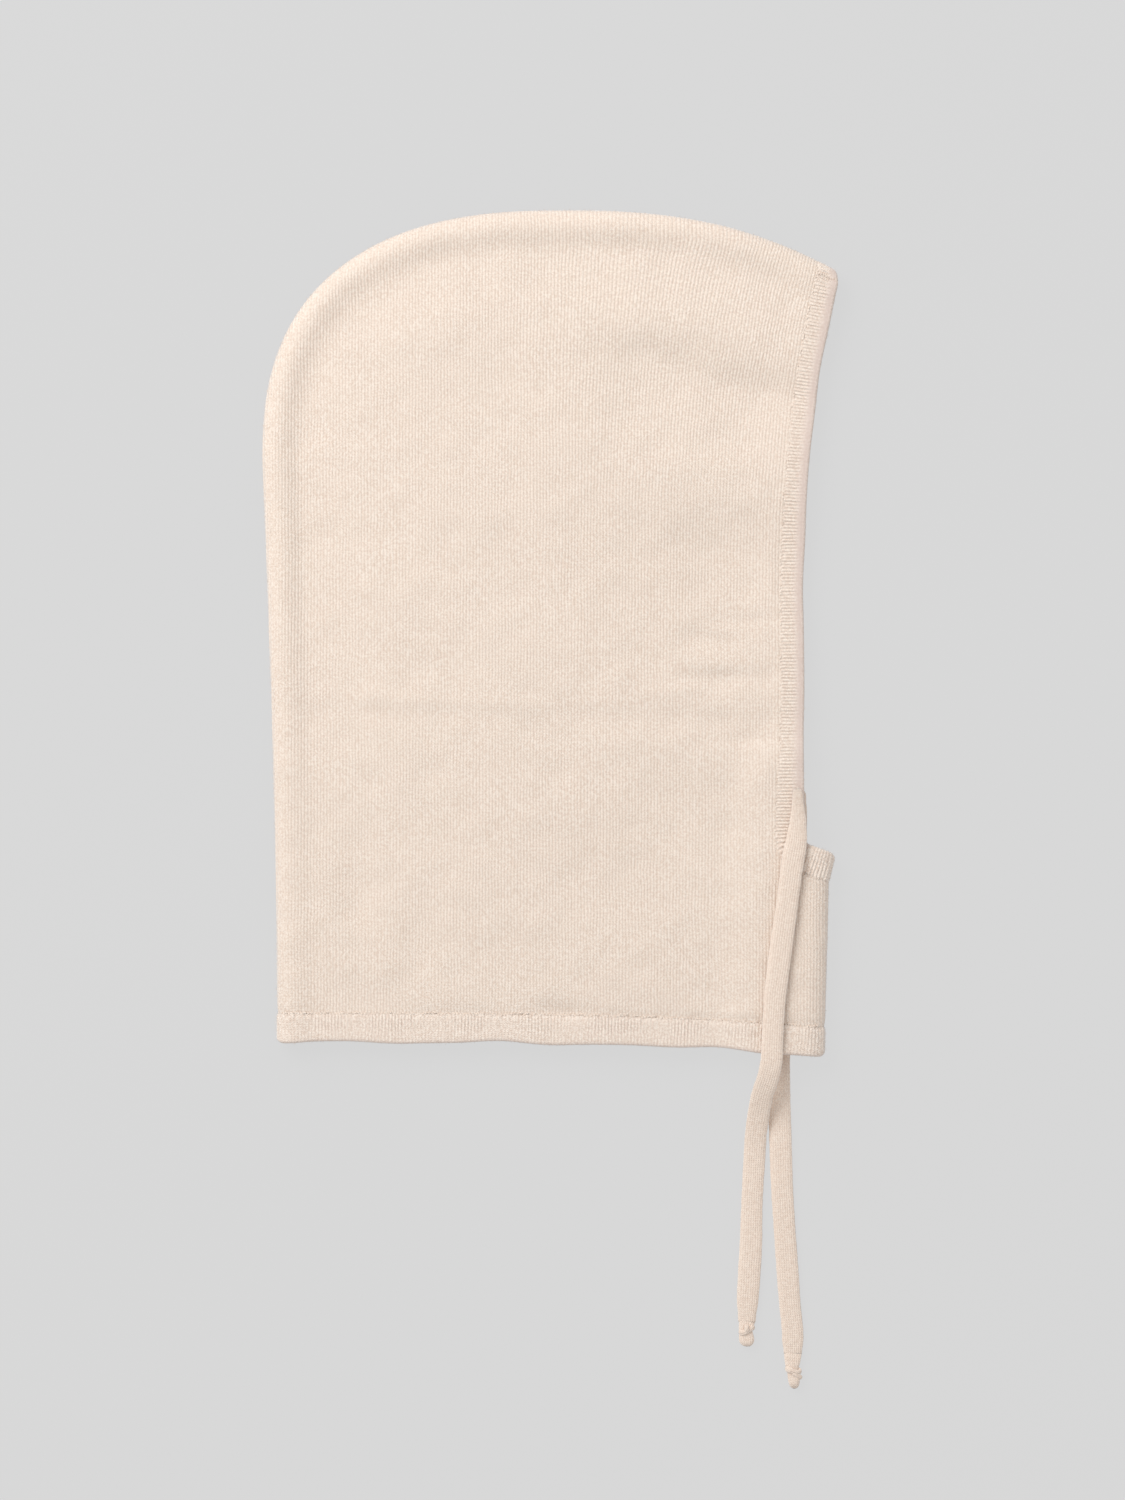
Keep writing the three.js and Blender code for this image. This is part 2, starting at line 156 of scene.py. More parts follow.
@dataclass(frozen=True)
class Outline:
    """The outline of the laid hood, as folds and free edges, in metres."""

    depth: float = 0.272
    height: float = 0.400
    back_taper: float = 0.007
    crown_reach: float = 0.143
    crown_rise: float = 0.118
    crown_squareness: float = 2.5
    crown_drop: float = 0.029
    crown_droop: float = 2.5
    front_lip: float = 0.006
    face_setback: float = 0.016
    face_flare: float = 0.145
    face_swing: float = 2.1
    throat_step: float = 0.0095
    throat_lean: float = 0.0025
    throat_lip: float = 0.0028
    throat_height: float = 0.096
    throat_rise: float = 0.004
    throat_corner: float = 0.004
    throat_band: float = 0.014
    hem_slant: float = 0.0065
    hem_sweep: float = 3.4

    @property
    def front(self) -> float:
        """The front corner of the crown, along X."""
        return self.depth / 2

    @property
    def top(self) -> float:
        """The top of the crown, along Y."""
        return self.height / 2

    @property
    def face_x(self) -> float:
        """The straight part of the face edge, along X."""
        return self.front - self.face_setback

    @property
    def throat_x(self) -> float:
        """The throat's fold at the hem, along X."""
        return self.face_x + self.throat_step

    def crown(self) -> PlanCurve:
        """The fold from the hem up the back and over the crown to its front corner."""
        shoulder = self.top - self.crown_rise
        crown_x = self.crown_reach - self.front
        t = np.linspace(0.0, 1.0, 120)
        back_x = -self.front + self.back_taper * np.sin((1.0 - t) * math.pi / 2)
        back_y = lerp(-self.top + self.hem_slant, shoulder, t)
        angle = t[1:] * math.pi / 2
        power = 2.0 / self.crown_squareness
        round_x = crown_x - self.crown_reach * np.abs(np.cos(angle)) ** power
        round_y = shoulder + self.crown_rise * np.sin(angle) ** power
        brow_x = lerp(crown_x, self.front, t[1:])
        brow_y = self.top - self.crown_drop * t[1:] ** self.crown_droop
        across = np.concatenate([back_x, round_x, brow_x])
        up = np.concatenate([back_y, round_y, brow_y])
        return PlanCurve(np.stack([across, up], axis=1))

    def throat(self) -> PlanCurve:
        """The fold from the hem up the front of the neck to the throat's edge."""
        t = np.linspace(0.0, 1.0, 160)
        lip_start = 1.0 - self.throat_band / self.throat_height
        lip = self.throat_lip * ease((t - lip_start) / (1.0 - lip_start))
        across = self.throat_x + self.throat_lean * t + lip
        return PlanCurve(np.stack([across, -self.top + self.throat_height * t], axis=1))

    def face(self) -> PlanCurve:
        """The free edge of the face opening, from the front corner to the throat's fold."""
        throat_top = -self.top + self.throat_height
        corner_y = throat_top + self.throat_rise + self.throat_corner
        flare_top = self.top - self.crown_drop - self.front_lip
        t = np.linspace(0.0, 1.0, 100)
        swing = np.stack(
            [self.face_x + self.face_setback * (1.0 - t) ** self.face_swing, flare_top - self.face_flare * t],
            axis=1,
        )
        straight = np.stack([np.full(100, self.face_x), lerp(swing[-1, 1], corner_y, t)], axis=1)
        angle = t[::8] * math.pi / 2
        corner = np.stack(
            [
                self.face_x + self.throat_corner * (1.0 - np.cos(angle)),
                corner_y - self.throat_corner * np.sin(angle),
            ],
            axis=1,
        )
        low = np.array([self.throat_x + self.throat_lean + self.throat_lip, throat_top])
        throat = lerp(corner[-1], low, t[1:, None])
        start = np.array([[self.front, self.top - self.crown_drop]])
        return PlanCurve(np.concatenate([start, swing, straight[1:], corner[1:], throat]))

    def hem(self) -> PlanCurve:
        """The free edge of the neck, from the throat's fold to the back fold."""
        t = np.linspace(0.0, 1.0, 200)
        across = lerp(self.throat_x, self.back_taper - self.front, t)
        up = -self.top + self.hem_slant * (1.0 - (1.0 - t) ** self.hem_sweep)
        return PlanCurve(np.stack([across, up], axis=1))


@dataclass(frozen=True)
class Dent:
    """A smooth oval hollow in the upper layer, in metres and degrees.

    A crest is less than 0 deep. The tail stretches the hollow's lower side.
    """

    across: float
    up: float
    long: float
    wide: float
    turn: float
    deep: float
    tail: float = 1.0

    def depth(self, points: Array) -> Array:
        """How deep the hollow is at points of the plan."""
        turn = math.radians(self.turn)
        x = points[..., 0] - self.across
        y = points[..., 1] - self.up
        u = (x * math.cos(turn) + y * math.sin(turn)) / self.long
        v = (y * math.cos(turn) - x * math.sin(turn)) / self.wide
        v = np.where(v < 0.0, v / self.tail, v)
        return self.deep * np.exp(-u * u - v * v)


DENTS = (
    Dent(0.055, 0.1255, 0.032, 0.0130, -8, 0.0043, 2.4),
    Dent(0.097, 0.1130, 0.025, 0.0105, -10, 0.0052, 2.2),
    Dent(0.088, 0.1710, 0.032, 0.0085, -22, 0.0018, 2.0),
    Dent(0.040, 0.150, 0.050, 0.011, -8, -0.0006),
    Dent(0.080, 0.0905, 0.022, 0.0075, -4, 0.0012, 1.6),
    Dent(0.078, 0.034, 0.048, 0.022, -4, 0.0042, 2.0),
    Dent(0.073, -0.0025, 0.014, 0.0042, -8, 0.0013, 1.5),
    Dent(0.092, 0.0060, 0.018, 0.0026, 3, 0.0005),
    Dent(0.084, -0.0210, 0.020, 0.0042, 2, 0.0016, 1.3),
    Dent(0.062, -0.0265, 0.018, 0.0032, 8, -0.0006),
    Dent(0.066, -0.0405, 0.044, 0.0050, -3, 0.0009, 1.6),
    Dent(0.000, -0.0395, 0.030, 0.0040, 3, 0.0003, 1.6),
    Dent(-0.066, -0.0375, 0.034, 0.0040, -3, 0.0003, 1.4),
    Dent(-0.050, -0.0325, 0.060, 0.0036, -2, -0.0005),
    Dent(0.096, -0.0500, 0.020, 0.0032, 3, 0.0008),
    Dent(-0.091, -0.128, 0.010, 0.022, 0, 0.0020),
    Dent(-0.064, -0.150, 0.010, 0.030, -6, 0.0009),
    Dent(0.004, -0.1780, 0.011, 0.0044, -6, 0.0016),
    Dent(0.040, -0.105, 0.050, 0.034, 20, 0.0016),
    Dent(-0.064, 0.143, 0.042, 0.020, 32, -0.0012),
)


@dataclass(frozen=True)
class LaidCloth:
    """How high the two layers of the hood lie, in metres."""

    crown: PlanCurve
    throat: PlanCurve
    far_tie: PlanCurve
    laid: float = 0.011
    roll_height: float = 0.0125
    roll_reach: float = 0.009
    valley_inset: float = 0.020
    valley_width: float = 0.009
    valley_depth: float = 0.0016
    valley_tail: float = 2.6
    tie_half: float = 0.0051
    ridge_height: float = 0.0043
    ridge_share: float = 0.78
    ridge_flat: float = 0.006
    ridge_ramp: float = 0.024
    slack: float = 0.35

    def fold_distance(self, points: Array) -> Array:
        """How far points of the plan lie from the nearest fold."""
        return np.minimum(self.crown.away(points), self.throat.away(points))

    def fullness(self, points: Array) -> Array:
        """How full the fold's roll is, less towards the hem and towards the face."""
        up = lerp(self.slack, 1.0, ease((points[..., 1] + 0.1) / 0.16))
        return up * lerp(1.0, self.slack, ease((points[..., 0] - 0.02) / 0.09))

    def ridge(self, points: Array) -> Array:
        """The rise of the lower layer over the far tie."""
        beside = self.far_tie.away(points) - self.tie_half - self.ridge_flat
        return self.ridge_height * (1.0 - ease(beside / self.ridge_ramp))

    def layers(self, points: Array) -> tuple[Array, Array]:
        """Heights of the lower and the upper face.

        Args:
            points: places in plan.

        Returns:
            The lower face's heights and the upper face's heights.
        """
        distance = self.fold_distance(points)
        inwards = np.minimum(distance / self.roll_reach, 1.0)
        bulge = np.sqrt(np.maximum(0.0, 1.0 - (1.0 - inwards) ** 2))
        middle = self.roll_height / 2
        lift = self.ridge(points)
        roll = (self.roll_height - self.laid) * (1.0 - ease((distance - self.roll_reach) / self.roll_reach))
        beside = (self.crown.away(points) - self.valley_inset) / self.valley_width
        beside = np.where(beside > 0.0, beside / self.valley_tail, beside)
        height = self.laid + (roll - self.valley_depth * np.exp(-beside * beside)) * self.fullness(points)
        height = height - sum(dent.depth(points) for dent in DENTS)
        lower = middle * (1.0 - bulge) + lift
        upper = lerp(middle, height, bulge) + lift * self.ridge_share
        return lower, upper


def grid_faces(rings: int, columns: int, closed: bool) -> list[tuple[int, int, int, int]]:
    """Four-sided faces of rings that follow each other, each ring closed.

    Args:
        rings: how many rings.
        columns: how many points a ring has.
        closed: whether the last ring joins the first.

    Returns:
        The corners of each face.
    """
    row = np.arange(rings if closed else rings - 1)
    column = np.arange(columns)
    a = row[:, None] * columns + column
    b = row[:, None] * columns + (column + 1) % columns
    c = ((row + 1) % rings)[:, None] * columns + (column + 1) % columns
    d = ((row + 1) % rings)[:, None] * columns + column
    return np.stack([a, b, c, d], axis=-1).reshape(-1, 4).tolist()


def make_piece(name: str, points: Array, faces: list, places: Array) -> bpy.types.Object:
    """A smooth mesh object with a UV map, at the origin.

    Args:
        name: the piece's name.
        points: its points in metres.
        faces: the corners of each face.
        places: the UV place of each point, in metres along the cloth.

    Returns:
        The new object.
    """
    mesh = bpy.data.meshes.new(name)
    mesh.from_pydata(points.reshape(-1, 3).tolist(), [], faces)
    corners = np.zeros(len(mesh.loops), np.int32)
    mesh.loops.foreach_get("vertex_index", corners)
    layer = mesh.uv_layers.new(name="cloth")
    layer.data.foreach_set("uv", places.reshape(-1, 2)[corners].astype(np.float32).ravel())
    mesh.polygons.foreach_set("use_smooth", np.ones(len(mesh.polygons), bool))
    mesh.update()
    piece = bpy.data.objects.new(name, mesh)
    bpy.context.scene.collection.objects.link(piece)
    return piece


def ring_normals(rings: Array) -> Array:
    """Outward normals of an array of closed rings, from their neighbours."""
    around = np.roll(rings, -1, axis=1) - np.roll(rings, 1, axis=1)
    before = np.concatenate([rings[:1], rings[:-1]])
    after = np.concatenate([rings[1:], rings[-1:]])
    return unit(np.cross(around, after - before))


class Socket:
    """A value in a material, on which arithmetic adds Math nodes."""

    def __init__(self, graph: Graph, link: bpy.types.NodeSocket) -> None:
        """Keeps the material's graph and the socket."""
        self.graph = graph
        self.link = link

    def math(self, operation: str, *others: Socket | float) -> Socket:
        """A Math node's result for this value and others."""
        return self.graph.node("ShaderNodeMath", {"operation": operation}, self, *others)

    def __add__(self, other: Socket | float) -> Socket:
        """This value plus another."""
        return self.math("ADD", other)

    __radd__ = __add__

    def __mul__(self, other: Socket | float) -> Socket:
        """This value times another."""
        return self.math("MULTIPLY", other)

    __rmul__ = __mul__

    def __sub__(self, other: Socket | float) -> Socket:
        """This value less another."""
        return self.math("SUBTRACT", other)

    def __rsub__(self, other: Socket | float) -> Socket:
        """Another value less this one."""
        return self.graph.node("ShaderNodeMath", {"operation": "SUBTRACT"}, other, self)

    def __truediv__(self, other: Socket | float) -> Socket:
        """This value divided by another."""
        return self.math("DIVIDE", other)

    def wave(self) -> Socket:
        """The cosine of this many turns."""
        return (self * (2.0 * math.pi)).math("COSINE")

    def clamped(self) -> Socket:
        """This value, kept from 0 to 1."""
        return self.graph.node("ShaderNodeClamp", {}, self)


class Graph:
    """The node graph of one material."""

    def __init__(self, name: str) -> None:
        """Makes the material with nothing in it but its output.

        Args:
            name: the material's name.
        """
        self.material = bpy.data.materials.new(name)
        self.material.use_nodes = True
        self.tree = self.material.node_tree
        self.tree.nodes.clear()

    def node(self, kind: str, settings: dict[str, Any], *inputs: Any, out: int | str = 0, **named: Any) -> Socket:
        """Adds one node.

        Args:
            kind: the node's type.
            settings: what is set on the node first.
            *inputs: values or sockets for its inputs in order, None to leave one.
            out: which output is given back.
            **named: values or sockets by the input's name, with _ for a space.

        Returns:
            The node's output.
        """
        made = self.tree.nodes.new(kind)
        for key, value in settings.items():
            setattr(made, key, value)
        pairs = list(zip(made.inputs, inputs))
        pairs += [(made.inputs[key.replace("_", " ")], value) for key, value in named.items()]
        for target, value in pairs:
            if isinstance(value, Socket):
                self.tree.links.new(value.link, target)
            elif value is not None:
                target.default_value = value
        return Socket(self, made.outputs[out]) if made.outputs else Socket(self, None)

    def split(self, vector: Socket) -> tuple[Socket, Socket, Socket]:
        """The three numbers of a vector."""
        made = self.node("ShaderNodeSeparateXYZ", {}, vector)
        outputs = made.link.node.outputs
        return tuple(Socket(self, outputs[k]) for k in range(3))

    def mix(self, factor: Socket | float, first: Any, second: Any) -> Socket:
        """A colour between two.

        Args:
            factor: 0 for the first and 1 for the second.
            first: a colour or a socket.
            second: a colour or a socket.

        Returns:
            The mixed colour.
        """
        made = self.tree.nodes.new("ShaderNodeMix")
        made.data_type = "RGBA"
        for index, value in ((0, factor), (6, first), (7, second)):
            if isinstance(value, Socket):
                self.tree.links.new(value.link, made.inputs[index])
            else:
                made.inputs[index].default_value = value
        return Socket(self, made.outputs[2])


Colour = tuple[float, float, float, float]


def shade(red: float, green: float, blue: float) -> Colour:
    """A colour for Blender from screen values of 0 to 255."""

    def linear(value: float) -> float:
        """One channel without the screen's curve."""
        share = value / 255.0
        return share / 12.92 if share <= 0.04045 else ((share + 0.055) / 1.055) ** 2.4

    return (linear(red), linear(green), linear(blue), 1.0)


@dataclass(frozen=True)
class KnitFinish:
    """A fine knit of heathered yarn with a soft nap."""

    name: str
    yarn: Colour
    pale: Colour
    deep: Colour
    wale: float = 0.0015
    course: float = 0.0012
    relief: float = 0.00029
    nap: float = 0.00016
    contrast: float = 6.2
    shadow: float = 0.32
    sheen: float = 0.72
    # Near a band's free edge, over the width rolled, the stitches fade out and the colour is mixed towards a darker,
    # pinker painted shade. It stands for the shade where the rolled edge curves down away from the light; roll_end
    # ends it on the lining.
    rolled: float = 0.0
    roll_blend: float = 0.0042
    roll_end: float = -0.0028
    roll_shade_share: float = 0.85
    roll_painted_shade: Colour = shade(214, 195, 186)

    def material(self) -> bpy.types.Material:
        """Builds the knit's material.

        Returns:
            The material.
        """
        g = Graph(self.name)
        cloth = g.node("ShaderNodeUVMap", {"uv_map": "cloth"})
        place = g.node("ShaderNodeTexCoord", {}, out="Object")
        across, along, _ = g.split(cloth)
        drift = g.node("ShaderNodeTexNoise", {}, place, Scale=48.0, Detail=3.0)
        side = across * (1.0 / self.wale) + (drift - 0.5) * 1.1
        beside = (side.math("FRACT") - 0.5).math("ABSOLUTE")
        arms = (along * (1.0 / self.course) + beside * 1.3 + drift * 3.0).wave() * 0.5 + 0.5
        gutter = (side.wave() * -0.5 + 0.5).math("POWER", 0.6)
        stitch = gutter * (arms * 0.5 + 0.5)
        fuzz = g.node("ShaderNodeTexNoise", {}, place, Scale=2600.0, Detail=3.0, Roughness=0.7)
        fleck = g.node("ShaderNodeTexNoise", {}, place, Scale=980.0, Detail=3.0, Roughness=0.75)
        cloud = g.node("ShaderNodeTexNoise", {}, place, Scale=38.0, Detail=3.0)
        speck = ((fleck - 0.5) * self.contrast + 0.5).clamped()
        blend = g.mix(speck, self.deep, self.pale)
        tone = g.mix(((cloud - 0.5) * 1.6 + 0.5).clamped() * 0.3 + 0.55, self.yarn, blend)
        plain = 0.0
        if self.rolled:
            turned = ((along + self.rolled) * (1.0 / self.roll_blend)).clamped()
            inside = ((along - self.roll_end) * (1.0 / self.roll_blend)).clamped()
            plain = turned * (1.0 - inside)
        shown = stitch * (1.0 - plain)
        # Painted shade: the gutters between stitches and ribs are mixed towards the deep colour, for the shade that
        # falls in them.
        colour = g.mix((1.0 - plain - shown) * self.shadow, tone, self.deep)
        # Painted shade on the plain rolled edge, where it curves down away from the light.
        if self.rolled:
            colour = g.mix(plain * self.roll_shade_share, colour, self.roll_painted_shade)
        height = shown * self.relief + fuzz * self.nap + fleck * self.nap
        bump = g.node("ShaderNodeBump", {}, Height=height, Distance=1.0, Strength=1.0)
        surface = g.node(
            "ShaderNodeBsdfPrincipled",
            {},
            Base_Color=colour,
            Roughness=0.93,
            Normal=bump,
            Sheen_Weight=self.sheen,
            Sheen_Roughness=0.4,
            Sheen_Tint=(0.84, 0.92, 1.0, 1.0),
            Specular_IOR_Level=0.25,
        )
        g.node("ShaderNodeOutputMaterial", {}, surface)
        return g.material


class Yarn(Enum):
    """The finishes of the hood's pieces."""

    JERSEY = KnitFinish("jersey", shade(243, 227, 212), shade(251, 239, 227), shade(228, 207, 190))
    RIB = KnitFinish(
        "rib",
        shade(246, 230, 216),
        shade(253, 242, 230),
        shade(223, 202, 186),
        wale=0.00157,
        course=0.0011,
        rolled=0.0070,
    )
    TIE = KnitFinish(
        "tie_knit",
        shade(243, 225, 210),
        shade(250, 236, 222),
        shade(228, 206, 189),
        wale=0.0013,
        course=0.0011,
        nap=0.00008,
        contrast=4.0,
        relief=0.0002,
    )


@dataclass
class BandLines:
    """The lines of a band in plan, one point for each of its columns."""

    outer: Array
    inner: Array
    marks: Array


@dataclass
class HoodPlan:
    """The hood's curves and the lines along which its pieces meet."""

    outline: Outline = field(default_factory=Outline)
    face_band: float = 0.011
    throat_band: float = 0.014
    hem_band: float = 0.014
    band_turn: float = 0.012
    widening: tuple[float, float] = (0.7, 0.25)
    samples: int = 400

    def __post_init__(self) -> None:
        """Draws the four curves."""
        self.crown = self.outline.crown()
        self.throat = self.outline.throat()
        self.face = self.outline.face()
        self.hem = self.outline.hem()

    def inset_line(self, edge: PlanCurve, widths: tuple[float, float], ends: tuple[Array, Array]) -> Array:
        """Points at a set inset from an open edge, which meet both folds.

        Args:
            edge: the free edge.
            widths: the inset at the edge's start and at its end.
            ends: where the line meets the fold at each end.

        Returns:
            The points in plan.
        """
        share = np.linspace(0.0, 1.0, self.samples)
        distance = share * edge.length
        run = edge.heading(distance)
        inwards = np.stack([run[:, 1], -run[:, 0]], axis=1)
        width = lerp(widths[0], widths[1], ease((share - self.widening[0]) / self.widening[1]))
        raw = edge.at(distance) + inwards * width[:, None]
        from_start = 1.0 - ease(distance / self.band_turn)
        from_end = 1.0 - ease((edge.length - distance) / self.band_turn)
        shift = from_start[:, None] * (ends[0] - raw[0]) + from_end[:, None] * (ends[1] - raw[-1])
        return raw + shift

    def face_inner(self, under: float = 0.0) -> Array:
        """The line where the face band meets the jersey, or one that far under the band."""
        face_band, throat_band = self.face_band - under, self.throat_band - under
        ends = (self.crown.at(self.crown.length - face_band), self.throat.at(self.throat.length - throat_band))
        return self.inset_line(self.face, (face_band, throat_band), ends)

    def hem_inner(self, under: float = 0.0) -> Array:
        """The line where the hem meets the jersey, or one that far under the hem."""
        width = self.hem_band - under
        return self.inset_line(self.hem, (width, width), (self.throat.at(width), self.crown.at(width)))

    def band_lines(self, edge: PlanCurve, inner: Array, marks: Callable[[float], Array]) -> BandLines:
        """The columns of one band.

        Args:
            edge: the band's free edge.
            inner: its line beside the jersey.
            marks: gives the columns' distances for the band's length.

        Returns:
            Its two lines and the columns' distances.
        """
        outer = edge.samples(self.samples)
        middle = PlanCurve((outer + inner) / 2)
        stops = marks(middle.length)
        place = np.interp(stops, middle.marks, np.arange(self.samples))
        pick = lambda line: np.stack(  # noqa: E731
            [np.interp(place, np.arange(self.samples), line[:, k]) for k in (0, 1)], axis=1
        )
        return BandLines(pick(outer), pick(inner), stops)

    def body_plan(self, columns: Callable[[float], Array], v: Array, under: float) -> Array:
        """Plan rows of the jersey, from the hem line to the face line.

        Args:
            columns: gives the columns' distances for an edge line's length.
            v: the rows, as shares of the way up.
            under: how far the jersey reaches under both bands.

        Returns:
            Points in plan, rows by columns.
        """
        low_line = PlanCurve(self.hem_inner(under)[::-1])
        high_line = PlanCurve(self.face_inner(under))
        low = low_line.at(columns(low_line.length))
        high = high_line.at(columns(high_line.length))
        share = columns(low_line.length) / low_line.length
        low_end = self.hem_band - under
        crown = self.crown.at(lerp(low_end, self.crown.length - self.face_band + under, v))
        throat = self.throat.at(lerp(low_end, self.throat.length - self.throat_band + under, v))
        places = lerp(beside_places(crown)[:, None], beside_places(throat)[:, None], share[None, :, None])
        chord = high - low
        left = np.stack([-chord[:, 1], chord[:, 0]], axis=1)
        return low + places[..., :1] * chord + places[..., 1:] * left


def beside_places(line: Array) -> Array:
    """Each point's place beside a line's own chord: along it and to its left, as shares."""
    chord = line[-1] - line[0]
    offset = line - line[0]
    along = offset @ chord
    left = chord[0] * offset[:, 1] - chord[1] * offset[:, 0]
    return np.stack([along, left], axis=1) / (chord @ chord)


def layered_rings(cloth: LaidCloth, plan: Array, under: Array) -> Array:
    """Closed rings: along the upper layer, then back along the lower.

    Args:
        cloth: gives the layers' heights.
        plan: rows of points in plan, from fold to fold.
        under: which columns the lower layer has, without the two folds.

    Returns:
        The rings' points.
    """
    low, high = cloth.layers(plan)
    high = high.copy()
    for end in (0, -1):
        high[:, end] = (low[:, end] + high[:, end]) / 2
    upper = np.concatenate([plan, high[..., None]], axis=-1)
    lower = np.concatenate([plan, low[..., None]], axis=-1)[:, under[::-1]]
    return np.concatenate([upper, lower], axis=1)


@dataclass
class HoodBody:
    """The jersey hood and neck, one hollow wall of fine knit."""

    plan: HoodPlan
    cloth: LaidCloth
    wall: float = 0.0016
    under: float = 0.0006
    sink: float = 0.0001
    smooth_reach: float = 0.006
    sink_width: float = 0.0019
    hem_sink: float = 0.0005
    hem_sink_width: float = 0.0048
    rows: int = 244
    end_rows: tuple[float, ...] = (0.0, 0.0012, 0.003, 0.006, 0.011, 0.018)
    lining_rows: int = 36
    middle_columns: int = 196
    under_step: int = 3
    fold_columns: tuple[float, ...] = (0, 0.15, 0.5, 1.1, 1.9, 3.0, 4.4, 6.0, 7.8, 9.8, 12.0)

    def columns(self, length: float) -> Array:
        """Distances of the columns along an edge line, close together beside both folds."""
        near = np.array(self.fold_columns) * 0.001
        middle = np.linspace(near[-1], length - near[-1], self.middle_columns + 2)[1:-1]
        return np.concatenate([near, middle, (length - near)[::-1]])

    def wale_places(self, points: Array) -> Array:
        """The cloth's own places, whose wales lean with the face edge.

        Args:
            points: places in plan.

        Returns:
            How far across and along the cloth each is, in metres.
        """
        outline = self.plan.outline
        rise = (points[..., 1] - (outline.top - outline.crown_drop - outline.face_flare)) / outline.face_flare
        swing = outline.face_setback * np.clip(rise, 0.0, 1.1) ** outline.face_swing
        lean = swing * ease((points[..., 0] + 0.02) / (outline.face_x + 0.02))
        return np.stack([points[..., 0] - lean, points[..., 1]], axis=-1)

    def heights(self) -> Array:
        """The rows as shares of the way up, close together beside both bands."""
        ends = np.array(self.end_rows)
        middle = np.linspace(ends[-1], 1.0 - ends[-1], self.rows)[1:-1]
        return np.concatenate([ends, middle, (1.0 - ends)[::-1]])

    def build(self) -> bpy.types.Object:
        """Makes the wall.

        Returns:
            The hood's piece.
        """
        plan = self.plan.body_plan(self.columns, self.heights(), self.under)
        count = plan.shape[1]
        under = np.arange(1, count - 1)
        beside_fold = len(self.fold_columns)
        keep = (under < beside_fold) | (under >= count - beside_fold) | (under % self.under_step == 0)
        outer = layered_rings(self.cloth, plan, under[keep])
        normals = ring_normals(outer)
        flat = outer[..., :2]
        upward = np.clip(normals[..., 2], 0.0, 1.0)
        face_seam = PlanCurve(self.plan.face_inner()).away(flat, 240)
        hem_seam = PlanCurve(self.plan.hem_inner()).away(flat, 120)
        relief = upward * (0.00030 * swell(flat, 11, 0.06) + 0.00016 * swell(flat, 12, 0.019))
        relief *= ease(np.minimum(face_seam, hem_seam) / self.smooth_reach)
        relief -= self.sink * (1.0 - ease(face_seam / self.sink_width))
        relief -= self.hem_sink * (1.0 - ease(hem_seam / self.hem_sink_width))
        outer = outer + normals * relief[..., None]
        rows = np.unique(np.linspace(0, len(outer) - 1, self.lining_rows).round().astype(int))
        inner = (outer - normals * self.wall)[rows][::-1]
        rings = np.concatenate([outer, inner])
        faces = grid_faces(len(rings), rings.shape[1], closed=True)
        places = self.wale_places(rings[..., :2])
        return make_piece("hood_jersey", rings, faces, places)


def make_beads(
    name: str, cloth: LaidCloth, line: PlanCurve, marks: Array, size: Array, sink: float
) -> bpy.types.Object:
    """A row of small linking stitches on the upper layer, each a slanted bead of yarn.

    Args:
        name: the piece's name.
        cloth: gives the height of the upper layer.
        line: the line that the row follows in plan.
        marks: the stitches' distances along the line.
        size: half the length, width and height of a stitch.
        sink: how far a stitch's middle lies under the surface.

    Returns:
        The stitches' piece.
    """
    draw = np.random.default_rng(31)
    centre = line.at(marks)
    run = line.heading(marks)
    height = cloth.layers(centre)[1] - sink
    centre = np.concatenate([centre, height[:, None]], axis=1)
    along = np.concatenate([run, np.zeros((len(run), 1))], axis=1)
    aside = np.stack([run[:, 1], -run[:, 0], np.zeros(len(run))], axis=1)
    turn = np.arange(10) / 10 * 2.0 * math.pi
    tilt = np.radians([-75, -45, -15, 15, 45, 75])[:, None]
    sizes = size * (1.0 + 0.18 * draw.standard_normal((len(marks), 3))).clip(0.6, 1.5)
    ball = np.stack(
        np.broadcast_arrays(np.cos(turn) * np.cos(tilt), np.sin(turn) * np.cos(tilt), np.sin(tilt)), axis=-1
    ).reshape(-1, 3)
    shape = ball[None] * sizes[:, None]
    stray = 0.00035 * draw.standard_normal((len(marks), 1, 1))
    points = (
        centre[:, None]
        + along[:, None] * shape[..., :1]
        + aside[:, None] * (shape[..., 1:2] + 0.35 * shape[..., :1] + stray)
        + np.array([0.0, 0.0, 1.0]) * shape[..., 2:]
    )
    count = len(ball)
    one = grid_faces(len(tilt), len(turn), closed=False)
    one += [list(range(10))[::-1], list(range(count - 10, count))]
    faces = [[corner + count * k for corner in face] for k in range(len(marks)) for face in one]
    return make_piece(name, points, faces, points[..., :2])


